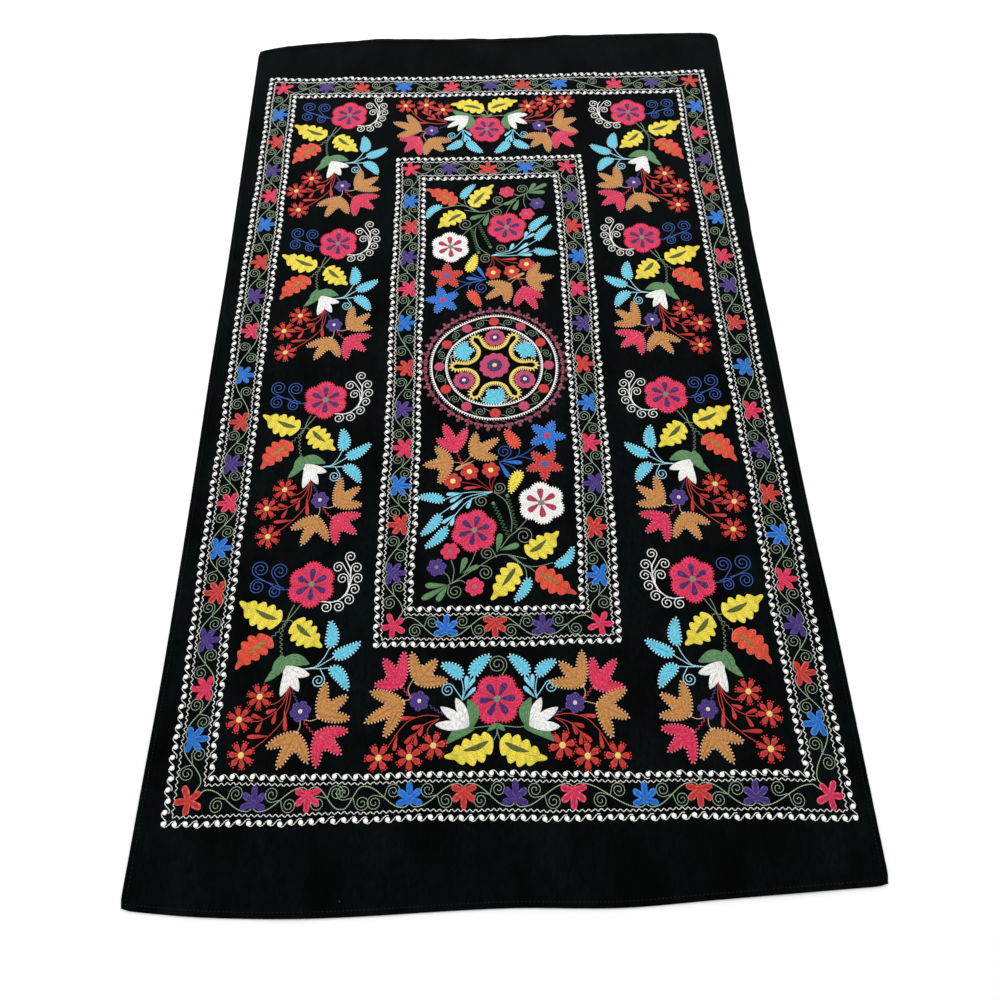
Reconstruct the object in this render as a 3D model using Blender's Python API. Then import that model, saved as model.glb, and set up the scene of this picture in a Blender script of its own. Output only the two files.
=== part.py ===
"""A suzani cloth: one hemmed panel of black velvet, spread flat on a floor.

Metres, +Z up. The origin is on the floor under the middle of the panel. +X runs across the
panel and +Y along it. The embroidery is thread on this cloth, so the panel is the one solid.
"""

import math
from collections import namedtuple

import bpy
from mathutils import Vector

# Driving sizes
SHEET_THICKNESS = 0.002  # velvet with its backing of stitches
HEM_THICKNESS = 0.0034  # the cloth turned under once
HEM_WIDTH = 0.014
CORNER_DROP = 0.006  # how far the worn corner is rounded back
COLUMNS = 28  # cells across the panel, between the hems
ROWS = 46  # cells along the panel, between the hems

# Each edge drifts a little from a straight line, as cut velvet does. "along" runs with the
# edge and "across" is where the edge lies there.
EdgePoint = namedtuple("EdgePoint", "along across")
LEFT_EDGE = [
    EdgePoint(-1.181, -0.697),
    EdgePoint(-0.800, -0.689),
    EdgePoint(-0.400, -0.689),
    EdgePoint(0.000, -0.693),
    EdgePoint(0.400, -0.694),
    EdgePoint(0.700, -0.699),
    EdgePoint(1.156, -0.705),
]
RIGHT_EDGE = [
    EdgePoint(-1.166, 0.699),
    EdgePoint(-0.700, 0.697),
    EdgePoint(-0.420, 0.690),
    EdgePoint(0.050, 0.691),
    EdgePoint(0.340, 0.688),
    EdgePoint(0.640, 0.693),
    EdgePoint(0.900, 0.701),
    EdgePoint(1.194, 0.705),
]
BOTTOM_EDGE = [
    EdgePoint(-0.697, -1.181),
    EdgePoint(-0.540, -1.195),
    EdgePoint(-0.340, -1.200),
    EdgePoint(0.000, -1.190),
    EdgePoint(0.210, -1.193),
    EdgePoint(0.390, -1.183),
    EdgePoint(0.699, -1.166),
]
TOP_EDGE = [
    EdgePoint(-0.705, 1.156),
    EdgePoint(-0.560, 1.183),
    EdgePoint(-0.290, 1.198),
    EdgePoint(-0.020, 1.190),
    EdgePoint(0.280, 1.199),
    EdgePoint(0.560, 1.200),
    EdgePoint(0.705, 1.194),
]

# Soft folds that stand up from the floor: centre, half length, half width, height, and the
# turn of the length from +X in degrees.
Fold = namedtuple("Fold", "x y length width height turn")
FOLDS = [
    Fold(-0.470, 0.010, 0.270, 0.060, 0.0035, 2),  # the crease it was stored on, left
    Fold(0.440, 0.000, 0.280, 0.060, 0.0025, -2),  # and right
    Fold(-0.272, -0.200, 0.430, 0.058, 0.0040, 91),  # beside the inner border, left
    Fold(0.290, -0.120, 0.460, 0.058, 0.0035, 89),  # and right
    Fold(-0.370, 1.120, 0.170, 0.070, 0.0055, 62),  # ripples of the top margin
    Fold(-0.060, 1.130, 0.150, 0.065, 0.0045, 78),
    Fold(0.255, 1.115, 0.180, 0.070, 0.0055, 118),
    Fold(0.560, 1.140, 0.170, 0.060, 0.0040, 20),
    Fold(-0.640, 1.060, 0.190, 0.060, 0.0040, 84),
    Fold(-0.665, -0.960, 0.230, 0.050, 0.0045, 92),  # beside the left hem
    Fold(-0.670, 0.480, 0.250, 0.050, 0.0035, 87),
    Fold(0.680, 0.450, 0.160, 0.055, 0.0050, 24),  # beside the right hem
    Fold(0.670, -0.420, 0.240, 0.050, 0.0035, 94),
    Fold(-0.300, -1.130, 0.200, 0.080, 0.0030, 12),  # the bottom margin
    Fold(0.400, -1.110, 0.230, 0.085, 0.0030, -14),
]

VELVET_BLACK = (0.006, 0.007, 0.007, 1.0)
VELVET_ROUGHNESS = 0.9


def clear_scene():
    for obj in list(bpy.data.objects):
        bpy.data.objects.remove(obj, do_unlink=True)


def velvet_material():
    material = bpy.data.materials.new("black_velvet")
    material.use_nodes = True
    shader = material.node_tree.nodes["Principled BSDF"]
    shader.inputs["Base Color"].default_value = VELVET_BLACK
    shader.inputs["Roughness"].default_value = VELVET_ROUGHNESS
    shader.inputs["Metallic"].default_value = 0.0
    material.diffuse_color = VELVET_BLACK
    return material


def edge_at(edge, share):
    """The point of an edge at this share of its length, on a smooth curve through its rows."""
    along = edge[0].along + share * (edge[-1].along - edge[0].along)
    row = 0
    while row < len(edge) - 2 and edge[row + 1].along < along:
        row += 1
    before, here = edge[max(row - 1, 0)], edge[row]
    there, after = edge[row + 1], edge[min(row + 2, len(edge) - 1)]
    gap = there.along - here.along
    leaving = (there.across - before.across) / (there.along - before.along) * gap
    arriving = (after.across - here.across) / (after.along - here.along) * gap
    t = (along - here.along) / gap
    across = (
        here.across * (1 + 2 * t) * (1 - t) ** 2 + leaving * t * (1 - t) ** 2
        + there.across * t * t * (3 - 2 * t) - arriving * t * t * (1 - t)
    )
    return EdgePoint(along, across)


def place_on_panel(u, v):
    """Where the share u across and v along the cut panel lies, between its four edges."""
    bottom, top = edge_at(BOTTOM_EDGE, u), edge_at(TOP_EDGE, u)
    left, right = edge_at(LEFT_EDGE, v), edge_at(RIGHT_EDGE, v)
    corners = {
        (0, 0): (BOTTOM_EDGE[0].along, BOTTOM_EDGE[0].across),
        (1, 0): (BOTTOM_EDGE[-1].along, BOTTOM_EDGE[-1].across),
        (0, 1): (TOP_EDGE[0].along, TOP_EDGE[0].across),
        (1, 1): (TOP_EDGE[-1].along, TOP_EDGE[-1].across),
    }
    between = [
        sum(
            (u if i else 1 - u) * (v if j else 1 - v) * corner[axis]
            for (i, j), corner in corners.items()
        )
        for axis in (0, 1)
    ]
    x = (1 - v) * bottom.along + v * top.along + (1 - u) * left.across + u * right.across
    y = (1 - v) * bottom.across + v * top.across + (1 - u) * left.along + u * right.along
    return x - between[0], y - between[1]


def lift(x, y):
    """How far the cloth stands off the floor here: each fold is a smooth long hump."""
    height = 0.0
    for fold in FOLDS:
        turn = math.radians(fold.turn)
        dx, dy = x - fold.x, y - fold.y
        along = (dx * math.cos(turn) + dy * math.sin(turn)) / fold.length
        across = (dy * math.cos(turn) - dx * math.sin(turn)) / fold.width
        reach = along * along + across * across
        if reach < 1:
            height += fold.height * (1 - reach) ** 2
    return height


def grid_shares(cells, length):
    """Shares from edge to edge: the hem line at each end and even cells between."""
    hem = HEM_WIDTH / length
    inner = [hem + (1 - 2 * hem) * i / cells for i in range(cells + 1)]
    return [0.0] + inner + [1.0]


def build_panel():
    width = TOP_EDGE[-1].along - TOP_EDGE[0].along
    length = LEFT_EDGE[-1].along - LEFT_EDGE[0].along
    across = grid_shares(COLUMNS, width)
    along = grid_shares(ROWS, length)
    points = []
    for v in along:
        for u in across:
            x, y = place_on_panel(u, v)
            points.append(Vector((x, y, lift(x, y))))
    points[-1] += Vector((-CORNER_DROP, -CORNER_DROP, 0.0))
    stride = len(across)
    faces = [
        (j * stride + i, j * stride + i + 1, (j + 1) * stride + i + 1, (j + 1) * stride + i)
        for j in range(len(along) - 1)
        for i in range(stride - 1)
    ]
    mesh = bpy.data.meshes.new("velvet_panel")
    mesh.from_pydata(points, [], faces)
    mesh.shade_smooth()
    mesh.materials.append(velvet_material())
    panel = bpy.data.objects.new("velvet_panel", mesh)
    bpy.context.scene.collection.objects.link(panel)

    # The sheet's underside is the grid, and the thickness goes up from it: full at the hem.
    hem = panel.vertex_groups.new(name="hem")
    for index in range(len(points)):
        row, column = divmod(index, stride)
        if row in (0, len(along) - 1) or column in (0, stride - 1):
            hem.add([index], 1.0, "REPLACE")
    thick = panel.modifiers.new("cloth", "SOLIDIFY")
    thick.thickness = HEM_THICKNESS
    thick.offset = 1.0
    thick.use_even_offset = False
    thick.vertex_group = hem.name
    thick.thickness_vertex_group = SHEET_THICKNESS / HEM_THICKNESS
    return panel


clear_scene()
build_panel()
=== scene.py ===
"""A black velvet suzani, laid flat, embroidered all over in coloured chain stitch.

Metres, in the CAD's frame: the origin is on the floor under the middle of the cloth, +X across
it and +Y along it. The embroidery is laid out in centimetres about the medallion's field, and
each thread's stitches are raised rows joined into one mesh that follows the cloth.
"""

import math
from collections import namedtuple
from itertools import cycle

import bpy
import numpy as np
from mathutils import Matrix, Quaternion, Vector


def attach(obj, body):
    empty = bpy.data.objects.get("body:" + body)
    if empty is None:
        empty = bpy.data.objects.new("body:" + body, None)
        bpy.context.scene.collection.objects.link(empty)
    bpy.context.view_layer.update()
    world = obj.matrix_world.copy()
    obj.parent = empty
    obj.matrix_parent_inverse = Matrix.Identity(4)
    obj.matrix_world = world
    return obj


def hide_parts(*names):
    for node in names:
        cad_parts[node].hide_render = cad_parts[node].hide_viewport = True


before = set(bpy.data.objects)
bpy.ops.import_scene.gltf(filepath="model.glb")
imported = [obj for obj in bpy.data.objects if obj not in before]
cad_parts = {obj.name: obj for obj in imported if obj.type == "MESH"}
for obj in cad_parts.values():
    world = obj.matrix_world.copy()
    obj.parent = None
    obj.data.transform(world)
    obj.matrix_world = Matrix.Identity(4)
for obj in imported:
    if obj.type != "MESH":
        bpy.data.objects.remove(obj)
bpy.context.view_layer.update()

TWO_PI = 2 * math.pi

# ---------------------------------------------------------------- the cloth's shape, as in CAD
SHEET_THICKNESS = 0.002
CELL = 0.0145  # size of the sheet's cells
NOMINAL_SIZE = (1.40, 2.36)  # turns distances in from an edge into shares of the panel

# Points along each edge: how far along it, and where it lies there.
LEFT_EDGE = [(-1.181, -0.697), (-0.800, -0.689), (-0.400, -0.689), (0.000, -0.693),
             (0.400, -0.694), (0.700, -0.699), (1.156, -0.705)]
RIGHT_EDGE = [(-1.166, 0.699), (-0.700, 0.697), (-0.420, 0.690), (0.050, 0.691),
              (0.340, 0.688), (0.640, 0.693), (0.900, 0.701), (1.194, 0.705)]
BOTTOM_EDGE = [(-0.697, -1.181), (-0.540, -1.195), (-0.340, -1.200), (0.000, -1.190),
               (0.210, -1.193), (0.390, -1.183), (0.699, -1.166)]
TOP_EDGE = [(-0.705, 1.156), (-0.560, 1.183), (-0.290, 1.198), (-0.020, 1.190),
            (0.280, 1.199), (0.560, 1.200), (0.705, 1.194)]

Fold = namedtuple("Fold", "x y length width height turn")
FOLDS = [Fold(*row) for row in (
    (-0.470, 0.010, 0.270, 0.060, 0.0035, 2), (0.440, 0.000, 0.280, 0.060, 0.0025, -2),
    (-0.272, -0.200, 0.430, 0.058, 0.0040, 91), (0.290, -0.120, 0.460, 0.058, 0.0035, 89),
    (-0.370, 1.120, 0.170, 0.070, 0.0055, 62), (-0.060, 1.130, 0.150, 0.065, 0.0045, 78),
    (0.255, 1.115, 0.180, 0.070, 0.0055, 118), (0.560, 1.140, 0.170, 0.060, 0.0040, 20),
    (-0.640, 1.060, 0.190, 0.060, 0.0040, 84), (-0.665, -0.960, 0.230, 0.050, 0.0045, 92),
    (-0.670, 0.480, 0.250, 0.050, 0.0035, 87), (0.680, 0.450, 0.160, 0.055, 0.0050, 24),
    (0.670, -0.420, 0.240, 0.050, 0.0035, 94), (-0.300, -1.130, 0.200, 0.080, 0.0030, 12),
    (0.400, -1.110, 0.230, 0.085, 0.0030, -14),
)]
SWAY = 0.00022  # the small unevenness of cloth that lies on a floor

# How the hem rises from its rounded edge, by the distance in from the edge.
HEM_DISTANCE = [0.0, 0.0012, 0.0040, 0.0125, 0.0150, 0.0180]
HEM_TOP = [0.0017, 0.0030, 0.0034, 0.0033, 0.0024, 0.0020]
HEM_UNDER = [0.0017, 0.0005, 0.0, 0.0, 0.0, 0.0]
HEM_STITCHING = 0.0105  # how far in from the edge the hem is sewn down


def edge_at(edge, share):
    """Points of an edge at these shares of its length, on a smooth curve through its rows."""
    rows = np.array(edge)
    along = rows[0, 0] + share * (rows[-1, 0] - rows[0, 0])
    row = np.clip(np.searchsorted(rows[:, 0], along) - 1, 0, len(rows) - 2)
    before, here = rows[np.maximum(row - 1, 0)], rows[row]
    there, after = rows[row + 1], rows[np.minimum(row + 2, len(rows) - 1)]
    gap = there[..., 0] - here[..., 0]
    leaving = (there - before)[..., 1] / (there - before)[..., 0] * gap
    arriving = (after - here)[..., 1] / (after - here)[..., 0] * gap
    t = (along - here[..., 0]) / gap
    across = (
        here[..., 1] * (1 + 2 * t) * (1 - t) ** 2 + leaving * t * (1 - t) ** 2
        + there[..., 1] * t * t * (3 - 2 * t) - arriving * t * t * (1 - t)
    )
    return np.stack([along, across], -1)


def place_on_panel(u, v):
    """Where shares u across and v along the panel lie, between its four edges."""
    bottom, top = edge_at(BOTTOM_EDGE, u), edge_at(TOP_EDGE, u)
    left, right = edge_at(LEFT_EDGE, v)[..., ::-1], edge_at(RIGHT_EDGE, v)[..., ::-1]
    u, v = u[..., None], v[..., None]
    corners = (
        (1 - u) * (1 - v) * np.array(BOTTOM_EDGE[0]) + u * (1 - v) * np.array(BOTTOM_EDGE[-1])
        + (1 - u) * v * np.array(TOP_EDGE[0]) + u * v * np.array(TOP_EDGE[-1])
    )
    return (1 - v) * bottom + v * top + (1 - u) * left + u * right - corners


def lift(x, y):
    """How far the cloth's underside stands off the floor."""
    height = np.zeros(np.shape(x))
    for fold in FOLDS:
        turn = math.radians(fold.turn)
        dx, dy = x - fold.x, y - fold.y
        along = (dx * math.cos(turn) + dy * math.sin(turn)) / fold.length
        across = (dy * math.cos(turn) - dx * math.sin(turn)) / fold.width
        height += fold.height * np.clip(1 - along**2 - across**2, 0, None) ** 2
    sway = np.sin(23 * x + 7 * y) * np.sin(19 * y - 11 * x + 1) + np.sin(41 * x - 13 * y + 2)
    return height + SWAY * (2 + sway)


# ---------------------------------------------------------------- stitches
STITCH = 0.0044  # one chain stitch
ROW = 0.0033  # between one row of a filling and the next
SINK = 0.0006  # how deep a stitch's edge lies in the velvet's pile
THIN = 0.0024  # width of a thin stem
DOT = 0.0100  # across one knot of a frame
PICOT_PITCH = 0.0063  # between the knots round an edge
PICOT_OUT = 0.34  # how far a knot's middle is outside the edge, and how long it is: both as
PICOT_LENGTH = 1.25  # shares of its width
PICOT_TONES = {"cyan": 1.6, "tan": 1.0, "white": 0.0}  # how pale the knots on an edge are


def add_object(name, mesh, material):
    mesh.shade_smooth()
    mesh.materials.append(material)
    obj = bpy.data.objects.new(name, mesh)
    bpy.context.scene.collection.objects.link(obj)
    return obj


class Thread:
    """The stitches of one thread, gathered into one mesh."""

    def __init__(self, name, slot):
        self.name, self.slot = name, slot
        self.points, self.quads, self.quad_uvs = [], [], []
        self.caps, self.cap_uvs, self.tones = [], [], []
        self.count = 0

    def grid(self, xy, rise, u, v, tone, closed=False, turns=0.0):
        """Adds grids of quads, shaped (grids, rows, columns); a closed one is capped inside."""
        shape = xy.shape[:3]
        z = lift(xy[..., 0], xy[..., 1]) + SHEET_THICKNESS + rise
        self.points.append(np.concatenate([xy, z[..., None]], -1).reshape(-1, 3))
        self.tones.append(np.broadcast_to(tone, shape).reshape(-1))
        index = self.count + np.arange(np.prod(shape)).reshape(shape)
        self.count += index.size
        uv = np.stack([np.broadcast_to(u, shape), np.broadcast_to(v, shape)], -1)
        if closed:
            ahead, uv_ahead = np.roll(index, -1, 2), np.roll(uv, -1, 2)
            uv_ahead[:, :, -1, 0] += turns
            self.caps += index[:, -1].tolist()
            self.cap_uvs.append(uv[:, -1].reshape(-1, 2))
        else:
            index, ahead = index[:, :, :-1], index[:, :, 1:]
            uv, uv_ahead = uv[:, :, :-1], uv[:, :, 1:]
        quad = [index[:, :-1], ahead[:, :-1], ahead[:, 1:], index[:, 1:]]
        quad_uv = [uv[:, :-1], uv_ahead[:, :-1], uv_ahead[:, 1:], uv[:, 1:]]
        self.quads.append(np.stack(quad, -1).reshape(-1, 4))
        self.quad_uvs.append(np.stack(quad_uv, -2).reshape(-1, 2))

    def build(self, material):
        faces = np.concatenate(self.quads).tolist() + self.caps
        mesh = bpy.data.meshes.new(self.name)
        mesh.from_pydata(np.concatenate(self.points).tolist(), [], faces)
        uv = np.concatenate(self.quad_uvs + self.cap_uvs).astype(np.float32)
        mesh.uv_layers.new(name="stitch").uv.foreach_set("vector", uv.ravel())
        tone = mesh.attributes.new("tone", "FLOAT", "POINT")
        tone.data.foreach_set("value", np.concatenate(self.tones).astype(np.float32))
        obj = add_object(self.name, mesh, material)
        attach(obj, "root")
        return obj


def unit(vectors):
    return vectors / np.maximum(np.linalg.norm(vectors, axis=-1, keepdims=True), 1e-9)


def side_of(ahead):
    """The left-hand side of a direction."""
    return np.stack([-ahead[..., 1], ahead[..., 0]], -1)


def polar(angle, radius=1.0):
    """Points at angles in radians and radii."""
    return np.stack([np.cos(angle) * radius, np.sin(angle) * radius], -1)


def smooth(points, closed=False, per=8):
    """A smooth curve through the points."""
    p = np.asarray(points, float)
    p = np.vstack([p[-1:], p, p[:2]] if closed else [2 * p[0] - p[1], p, 2 * p[-1] - p[-2]])
    t = np.linspace(0, 1, per, endpoint=False)[:, None]
    pieces = [
        0.5 * (2 * b + (c - a) * t + (2 * a - 5 * b + 4 * c - d) * t**2
               + (3 * b - a - 3 * c + d) * t**3)
        for a, b, c, d in zip(p[:-3], p[1:-2], p[2:-1], p[3:])
    ]
    return np.vstack(pieces if closed else pieces + [p[-2:-1]])


def even(points, step, closed=False, multiple=1):
    """The same path with its points evenly about a step apart."""
    p = np.vstack([points, points[:1]]) if closed else np.asarray(points)
    run = np.concatenate([[0], np.cumsum(np.linalg.norm(np.diff(p[:, :2], axis=0), axis=1))])
    count = multiple * max(2, round(run[-1] / step / multiple))
    at = np.arange(count if closed else count + 1) * run[-1] / count
    return np.stack([np.interp(at, run, p[:, k]) for k in range(p.shape[1])], 1)


def headings(path, closed=False):
    if closed:
        return unit(np.roll(path, -1, 0) - np.roll(path, 1, 0))
    return unit(np.gradient(path, axis=0))


def line(thread, path, width=0.0026, height=0.0011, closed=False, base=0.0, pinch=0.7,
         step=STITCH / 2, tone=0.0, plain=False):
    """A row of chain stitch along a path, drawn in at each join; a plain one has one ridge."""
    path = even(path, step, closed, 2)
    count = len(path)
    across = side_of(headings(path, closed))
    full = np.where(np.arange(count) % 2 == 0, pinch, 1.0)
    if not closed:
        full[[0, -1]] = 0.3
    section = np.array([0.0, 0.5, 1.0] if plain else [0.0, 0.26, 0.74, 1.0])
    crown = np.where(section * (1 - section) > 0, 1.0, 0.0)[:, None]
    xy = path + ((section[:, None] - 0.5) * width * full)[..., None] * across
    rise = crown * (height * (0.55 + 0.45 * full) + SINK) - SINK
    u = np.arange(count)[None] / 2
    thread.grid(xy[None], base + rise[None], u, section[:, None], tone, closed, count / 2)
    if closed:
        thread.caps.pop()
        thread.cap_uvs.pop()


def mounds(thread, centres, ahead, rings, rise, uv, tone):
    """Small raised shapes, each turned along its own direction; rings run from foot to crown.

    uv is the one place in a stitch that all of a shape is shaded as.
    """
    turned = np.stack([ahead, side_of(ahead)], -2)
    xy = centres[:, None, None] + np.einsum(
        "mrci,mij->mrcj", np.repeat(rings[None], len(centres), 0), turned)
    rise = np.broadcast_to(np.array(rise)[None, :, None], xy.shape[:3])
    thread.grid(xy, rise, uv, uv, tone, True)


def domes(thread, centres, ahead, length, width, rise, base, tone):
    """Small rounded stitches or knots, each lying along its own direction."""
    around = polar(np.arange(6) * TWO_PI / 6) * (length / 2, width / 2)
    rings = np.stack([around, 0.62 * around])
    mounds(thread, centres, ahead, rings, [base - SINK, base + rise], 0.3, tone)


def dots(thread, centres, ahead):
    """Round knots of satin stitch with a low crown."""
    around = polar(np.arange(10) * TWO_PI / 10, DOT / 2)
    rings = np.stack([k * around for k in (1.0, 0.78, 0.36)])
    mounds(thread, centres, ahead, rings, [0.0002 - SINK, 0.0016, 0.0021], 0.4, 0.1)


def turning(outline):
    """1 where a closed outline runs anticlockwise and -1 where it runs clockwise."""
    x, y = outline[:, 0], outline[:, 1]
    return np.sign(np.sum(x * np.roll(y, -1) - np.roll(x, -1) * y))


def inside(points, outline):
    """Which of the points lie inside a closed outline."""
    x, y = points[:, :1], points[:, 1:]
    x0, y0 = outline.T
    x1, y1 = np.roll(outline, -1, 0).T
    crossing = (y0 > y) != (y1 > y)
    meets = x0 + (y - y0) * (x1 - x0) / np.where(crossing, y1 - y0, 1.0)
    return np.sum(crossing & (x < meets), 1) % 2 == 1


def fill(thread, shape, base=0.0002, height=0.0011, tone=0.0, rim=0.0, step=0.0045):
    """A shape filled with rows that follow its outline inwards to its core.

    shape has four columns: the outline's x and y, and the point of the core that each faces.
    rim is how much paler the outermost row is.
    """
    if turning(shape) < 0:
        shape = shape[::-1]
    shape = even(shape, step, True, 2)
    outline, core = shape[:, :2], shape[:, 2:]
    count = len(outline)
    rows = max(1, round(np.linalg.norm(outline - core, axis=1).max() / ROW))
    valley = height * 0.5
    share, rise = [0.0], [-SINK]
    for k in range(rows):
        share.append((k + 0.5) / rows)
        rise.append(height * (0.92 + 0.16 * k / rows))
        if k < rows - 1:
            share.append((k + 1) / rows)
            rise.append(valley)
    share, rise = np.array(share), np.array(rise)[:, None]
    xy = outline + share[:, None, None] * (core - outline)
    beat = np.where(np.arange(count) % 2 == 0, 1.12, 0.88)
    rise = np.where((rise > 0) & (rise != valley), rise * beat, rise)

    # The tone wanders from row to row and from stitch to stitch, as hand-spun thread does.
    ring, stitch = np.arange(len(share))[:, None], np.arange(count)[None]
    phase = outline[0] @ (400, 270)
    shade = tone - 0.08 + 0.30 * np.sin(1.7 * ring + phase) + 0.70 * np.sin(
        2.1 * stitch + 1.3 * np.sin(2.7 * ring + phase) + 3.9 * ring)
    shade = shade + rim * (ring <= 1)
    u = stitch / 2 + ring * 0.25
    v = share[:, None] * rows
    thread.grid(xy[None], base + rise[None], u, v, shade, True, count / 2)


# ---------------------------------------------------------------- laying out the pattern
PATTERN_CENTRE = np.array([0.005, -0.0095])  # the middle of the embroidered field
DRIFT = 0.0016  # how far handwork strays from the drawing

# Each thread's slot, and its colour on screen from 0 to 255.
WHITE = (255, 254, 250)
YARNS = {
    "white_border": ("white", WHITE), "white_inner": ("white", WHITE), "white": ("white", WHITE),
    "pink": ("pink", (230, 34, 86)), "rose": ("rose", (150, 58, 84)),
    "red": ("red", (212, 44, 36)), "orange": ("orange", (238, 74, 40)),
    "yellow": ("yellow", (254, 232, 66)), "tan": ("tan", (206, 140, 66)),
    "cyan": ("cyan", (102, 212, 238)), "blue": ("blue", (0, 116, 216)),
    "navy": ("blue", (54, 96, 178)), "purple": ("purple", (66, 34, 128)),
    "plum": ("purple", (72, 8, 100)), "green": ("green", (90, 142, 88)),
    "sage": ("sage", (132, 152, 124)), "vine": ("sage", (170, 192, 160)),
    "olive": ("green", (88, 96, 30)), "stone": ("sage", (134, 134, 118)),
    "rosette": ("pink", (202, 62, 106)), "straw": ("yellow", (240, 214, 100)),
    "crimson": ("rose", (180, 44, 84)),
}
THREADS = {
    name: Thread("stitching_" + name, "thread_" + slot) for name, (slot, _) in YARNS.items()
}


class Place:
    """Where a group of motifs lies: its own centimetres, to metres on the cloth."""

    def __init__(self, x=0.0, y=0.0, turn=0.0, flip=(1, 1), size=1.0):
        c, s = math.cos(math.radians(turn)), math.sin(math.radians(turn))
        self.matrix = size * np.array([[c, -s], [s, c]]) @ np.diag(flip)
        self.shift = np.array([x, y])

    def __call__(self, points):
        p = 0.01 * (np.asarray(points, float) @ self.matrix.T + self.shift) + PATTERN_CENTRE
        x, y = p[..., 0], p[..., 1]
        drift = np.stack([
            np.sin(17 * x + 9 * y + 1) + 0.6 * np.sin(31 * y - 12 * x),
            np.sin(14 * y - 11 * x + 2) + 0.6 * np.sin(37 * x + 5 * y),
        ], -1)
        return p + DRIFT * drift

    def fill(self, thread, outline, core, picot=False, **how):
        fill(THREADS[thread], np.hstack([self(outline), self(core)]), **how)
        if picot:
            self.picots(thread, outline)
        return outline

    def picots(self, thread, *outlines, size=0.0042, tone=0.7):
        """Small knots round the edge of a motif, none where its parts overlap."""
        outlines = [self(outline) for outline in outlines]
        for k, outline in enumerate(outlines):
            edge = even(outline, PICOT_PITCH, True)
            out = -side_of(headings(edge, True)) * turning(outline)
            spots = edge + PICOT_OUT * size * out
            hidden = [inside(spots, other) for other in outlines[:k] + outlines[k + 1:]]
            shown = ~np.any(hidden, 0) if hidden else slice(None)
            domes(THREADS[thread], spots[shown], out[shown], PICOT_LENGTH * size, size, 0.0011,
                  0.0002, PICOT_TONES.get(thread, tone))

    def line(self, thread, points, curved=True, closed=False, **how):
        path = smooth(points, closed) if curved else np.asarray(points, float)
        line(THREADS[thread], self(path), closed=closed, **how)

    def lines(self, thread, *paths, **how):
        for path in paths:
            self.line(thread, path, **how)


# The half width of a petal, by its share of the way from foot to tip.
def pointed(s):
    """A lens."""
    return np.sin(math.pi * s**0.85) ** 0.85


def tulip_petal(s):
    """Nearly even along its length, with a rounded point."""
    return np.sin(math.pi * s**0.92) ** 0.62


def bell_petal(s):
    """Narrow at its foot, widest past its middle, with a pointed end."""
    return np.sin(math.pi * s**1.12) ** 0.72


def drop(s):
    """A thin stalk end and a round far end."""
    return 1.42 * s**0.85 * np.sqrt(np.clip(1 - s**5, 0, None))


def wedge(s):
    """Widening from a narrow foot to a blunt far end."""
    return (0.30 + 0.75 * s) * np.sqrt(np.clip(1 - s**6, 0, None)) * np.clip(14 * s, 0, 1) ** 0.5


def finger(s):
    """Nearly as wide at its foot as at its round far end."""
    ends = np.sqrt(np.clip(1 - s**6, 0, None)) * np.clip(12 * s, 0, 1) ** 0.5
    return np.minimum(1, 0.62 + 0.5 * s) * ends


def leaf(s):
    """A round base and a pointed far end."""
    return 1.2 * (1 - s) ** 0.55 * np.sqrt(np.clip(1 - (1 - s) ** 4, 0, None))


def lobed_leaf(s):
    """A blunt base, four round lobes down each side, and a narrow drawn-out tip."""
    body = np.sin(math.pi * np.clip(s / 0.87, 0, 1) ** 0.80) ** 0.5
    body *= 0.57 + 0.45 * np.abs(np.sin(4.85 * math.pi * s)) ** 0.75
    spur = 0.26 * np.sqrt(np.clip(1 - ((s - 0.74) / 0.26) ** 2, 0, 1)) * (s > 0.6)
    return np.maximum(body, spur)


def blade(base, tip, width, half_width, bend=0.0, count=72):
    """Outline and core of a petal or leaf, from its base to its tip."""
    base, tip = np.array(base, float), np.array(tip, float)
    s = 0.5 - 0.5 * np.cos(np.linspace(0, math.pi, count))
    length = np.linalg.norm(tip - base)
    ahead = (tip - base) / length
    left = side_of(ahead)

    def axis(at):
        return base + np.outer(at * length, ahead) + np.outer(
            bend * length * np.sin(math.pi * at), left)

    half = np.outer(half_width(s) * width / 2, left)
    inset = min(0.4, 0.42 * width / length)
    core = axis(np.clip(s, inset, 1 - inset))
    outline = np.vstack([axis(s) - half, (axis(s) + half)[-2:0:-1]])
    return outline, np.vstack([core, core[-2:0:-1]])


def petal(place, thread, foot, tip, width, half_width=pointed, bend=0.0, count=72, **how):
    return place.fill(thread, *blade(foot, tip, width, half_width, bend, count), **how)


def petals(place, thread, width, half_width, *ends, **how):
    """Petals of one width, each from its foot to its tip."""
    for foot, tip in ends:
        petal(place, thread, foot, tip, width, half_width, **how)


def round_shape(place, thread, centre, radius, lobes=0, depth=0.0, turn=0.0, **how):
    """A disc, or a flower outline with that many round lobes."""
    count = 24 if radius < 1.5 else 96
    angle = np.arange(count) * TWO_PI / count
    edge = np.abs(np.cos(lobes * (angle - math.radians(turn)) / 2)) ** 0.7 if lobes else 1.0
    centre = np.array(centre, float)
    outline = centre + polar(angle, radius * (1 - depth + depth * edge))
    return place.fill(thread, outline, np.broadcast_to(centre, outline.shape), **how)


def curl(place, thread, start, centre, radius, hand, width=0.0030, turns=1.9, **how):
    """A stem that runs from its start into a spiral; hand is 1 where it winds anticlockwise."""
    start, centre = np.array(start, float), np.array(centre, float)
    away = start - centre
    reach = max(np.linalg.norm(away), radius * 1.02)
    first = math.atan2(away[1], away[0]) + hand * math.acos(radius / reach)
    t = np.linspace(0, 1, 52)
    winding = centre + polar(first + hand * TWO_PI * turns * t, radius * (1 - 0.90 * t**1.3))
    stem = start + np.linspace(0, 1, 5)[:-1, None] * (winding[0] - start)
    place.line(thread, np.vstack([stem, winding]), curved=False, width=width, **how)


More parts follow.
